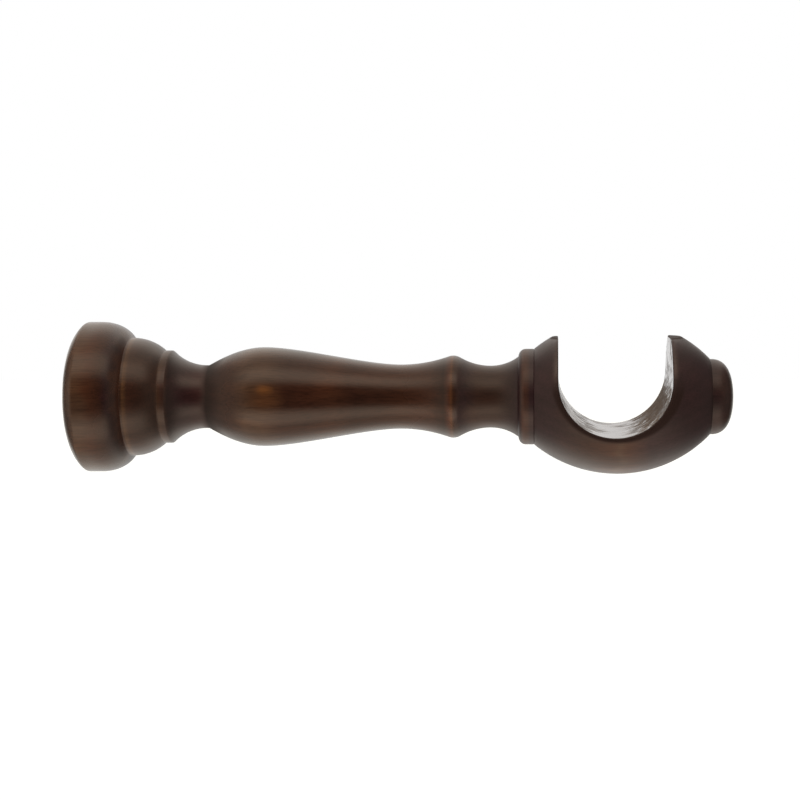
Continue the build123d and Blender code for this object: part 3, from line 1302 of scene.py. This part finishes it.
@dataclass(frozen=True)
class Studio:
    """Light tent, pale floor and camera. Angles in degrees, lengths in millimetres."""

    azimuth: float = 5.01
    elevation: float = 5.73
    aim_x: float = 86.87
    pixels_per_mm: float = 3.80
    focal_pixels: float = 1716.0
    frame_pixels: float = 800.0
    axis_lift_pixels: float = 3.4
    sensor_width: float = 36.0
    floor_depth: float = 270.0
    floor_half_size: float = 3000.0
    floor_colour: str = "#f2f2f0"
    floor_roughness: float = 0.9
    floor_glow: float = 0.45
    lamp_colour: str = "#fffdf6"
    white: str = "#ffffff"
    # The panels give way to the tent's sides over this lean to the left or right, and sooner at the back.
    side_range: Pair = (0.42, 0.78)
    back_range: Pair = (0.0, 0.5)
    back_lean: float = 0.06
    # The sides' own light, from the left one to the right one, and its share at the back.
    left_right: Pair = (-0.6, 0.6)
    side_levels: Pair = (0.55, 0.25)
    far_range: Pair = (-0.6, 0.0)
    far_side_share: float = 0.18
    # A mirrored ray that runs on nearly along the line of sight meets the white backdrop.
    backdrop_range: Pair = (0.85, 0.97)

    def axes(self) -> tuple[Vector, Vector, Vector]:
        """Directions of the picture's right, of its top and of the line of sight.

        The picture's right is the part of +X that is square to the line of sight, so that the turning axis
        lies level in the picture.

        Returns:
            Three unit vectors.
        """
        turn, dip = math.radians(self.azimuth), math.radians(self.elevation)
        sight = Vector((-math.sin(turn) * math.cos(dip), math.cos(turn) * math.cos(dip), -math.sin(dip)))
        right = (Vector((1, 0, 0)) - sight * sight.x).normalized()
        return right, right.cross(sight), sight

    def camera(self) -> None:
        """Set up the camera, with its eye back from a point on the turning axis along the line of sight."""
        right, up, sight = self.axes()
        eye = Vector((self.aim_x, 0, 0)) - sight * (self.focal_pixels / self.pixels_per_mm)
        data = bpy.data.cameras.new("camera")
        data.sensor_width = self.sensor_width
        data.lens = self.sensor_width * self.focal_pixels / self.frame_pixels
        data.shift_y = -self.axis_lift_pixels / self.frame_pixels
        camera = bpy.data.objects.new("camera", data)
        turned = Matrix((right, up, -sight)).transposed().to_4x4()
        camera.matrix_world = Matrix.Translation(eye * MM) @ turned
        bpy.context.scene.collection.objects.link(camera)
        bpy.context.scene.camera = camera

    def floor(self) -> None:
        """Lay a plain pale floor well below the bracket, white to the camera where no shadow falls."""
        reach = np.array([-self.floor_half_size, self.floor_half_size]) * MM
        corners = np.stack([*np.meshgrid(reach, reach), np.full((2, 2), -self.floor_depth * MM)], axis=-1)
        mesh = bpy.data.meshes.new("floor")
        mesh.from_pydata(corners.reshape(-1, 3).tolist(), [], [(0, 1, 3, 2)])
        material = bpy.data.materials.new("pale_matt_floor")
        tree = empty_tree(material)
        path = add_node(tree, "LightPath", ()).outputs
        seen: Feed = path["Is Camera Ray"]
        for kind in ("Is Glossy Ray", "Is Transmission Ray"):
            seen = add_node(tree, "Math", (seen, path[kind]), operation="MAXIMUM")
        surface = {
            "Base Color": to_linear(self.floor_colour),
            "Roughness": self.floor_roughness,
            "Specular IOR Level": 0.0,
            "Emission Color": to_linear(self.white),
            "Emission Strength": add_node(tree, "Math", (seen, self.floor_glow), operation="MULTIPLY"),
        }
        add_node(tree, "OutputMaterial", (add_node(tree, "BsdfPrincipled", surface),))
        mesh.materials.append(material)
        floor = bpy.data.objects.new("floor", mesh)
        floor.visible_glossy = False
        floor.visible_diffuse = False
        bpy.context.scene.collection.objects.link(floor)

    def panels(self) -> Stops:
        """List the tent's brightness by the angle from the camera: dark opening, soft boxes, back wall.

        Returns:
            Shares of a half turn, each with the brightness as a grey.
        """
        opening = [(0, 0.04), (26, 0.06)]
        soft_boxes = [(46, 1.4), (60, 1.4), (78, 0.6)]
        back_wall = [(100, 0.8), (128, 1.35), (155, 1.1)]
        levels = opening + soft_boxes + back_wall
        return [(angle / 180, (level, level, level, 1)) for angle, level in levels]

    def light(self) -> None:
        """Light the bracket with a tent that is open, and so dark, towards the camera and at both sides.

        A direction's parts along the picture's right, its top and the line of sight give its angle from the
        camera, up or down, and its lean to a side. The panels go by the angle, and they give way to the
        dimmer sides with the lean. To the camera, and to rays mirrored straight on, the tent is white.
        """
        world = bpy.data.worlds.new("light_tent")
        tree = empty_tree(world)
        bpy.context.scene.world = world
        place = add_node(tree, "TexCoord", ()).outputs["Generated"]
        aside, lift, away = (
            add_node(tree, "VectorMath", (place, axis), operation="DOT_PRODUCT") for axis in self.axes()
        )
        toward = add_node(tree, "Math", (away, -1.0), operation="MULTIPLY")
        steep, wide = (add_node(tree, "Math", (part,), operation="ABSOLUTE") for part in (lift, aside))
        turn = add_node(tree, "Math", (steep, toward), operation="ARCTAN2")
        share = add_node(tree, "Math", (turn, math.pi), operation="DIVIDE")
        panel = add_node(tree, "ValToRGB", (share,), self.panels())
        back = add_node(tree, "MapRange", (away, *self.back_range, 0.0, self.back_lean))
        lean = add_node(tree, "Math", (wide, back), operation="ADD")
        to_side = add_node(tree, "MapRange", (lean, *self.side_range), interpolation_type="SMOOTHSTEP")
        side = add_node(tree, "MapRange", (aside, *self.left_right, *self.side_levels))
        near = add_node(tree, "MapRange", (toward, *self.far_range, self.far_side_share))
        side_level = add_node(tree, "Math", (side, near), operation="MULTIPLY")
        level = add_node(tree, "Mix", {"Factor": to_side, "A": panel, "B": side_level})
        path = add_node(tree, "LightPath", ()).outputs
        kinds = path["Is Glossy Ray"], path["Is Transmission Ray"]
        mirrored = add_node(tree, "Math", kinds, operation="MAXIMUM")
        straight = add_node(tree, "MapRange", (away, *self.backdrop_range))
        parts = mirrored, straight, path["Is Camera Ray"]
        backdrop = add_node(tree, "Math", parts, operation="MULTIPLY_ADD")
        tints = {"Factor": backdrop, "A": to_linear(self.lamp_colour), "B": to_linear(self.white)}
        sky = {
            "Color": add_node(tree, "Mix", tints, data_type="RGBA"),
            "Strength": add_node(tree, "Mix", {"Factor": backdrop, "A": level, "B": 1.0}),
        }
        add_node(tree, "OutputWorld", (add_node(tree, "Background", sky),))


def main() -> None:
    """Load the frame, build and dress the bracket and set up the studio."""
    logging.basicConfig(level=logging.INFO, format="%(name)s: %(message)s")
    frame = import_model()
    mounts = {mount["name"]: mount for mount in frame["record"]["mounts"]}
    hole, seat = mounts["fixing_hole"], mounts["pole_seat"]
    flange = WallFlange(hole["dims"]["r_mm"], hole["dims"]["length_mm"])
    arm = BalusterArm(flange.end, flange.bead_radius)
    cup = PoleCup(arm.end, seat["pos_m"][0] / MM, seat["pos_m"][2] / MM, seat["dims"]["r_mm"])
    bracket = Bracket(flange, arm, cup)
    piece = bracket.build()
    bracket.dress(piece)
    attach(piece, BODY)
    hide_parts(CAD_NODE)
    studio = Studio()
    studio.floor()
    studio.light()
    studio.camera()
    bpy.context.scene.view_settings.view_transform = "Standard"


if __name__ == "__main__":
    main()
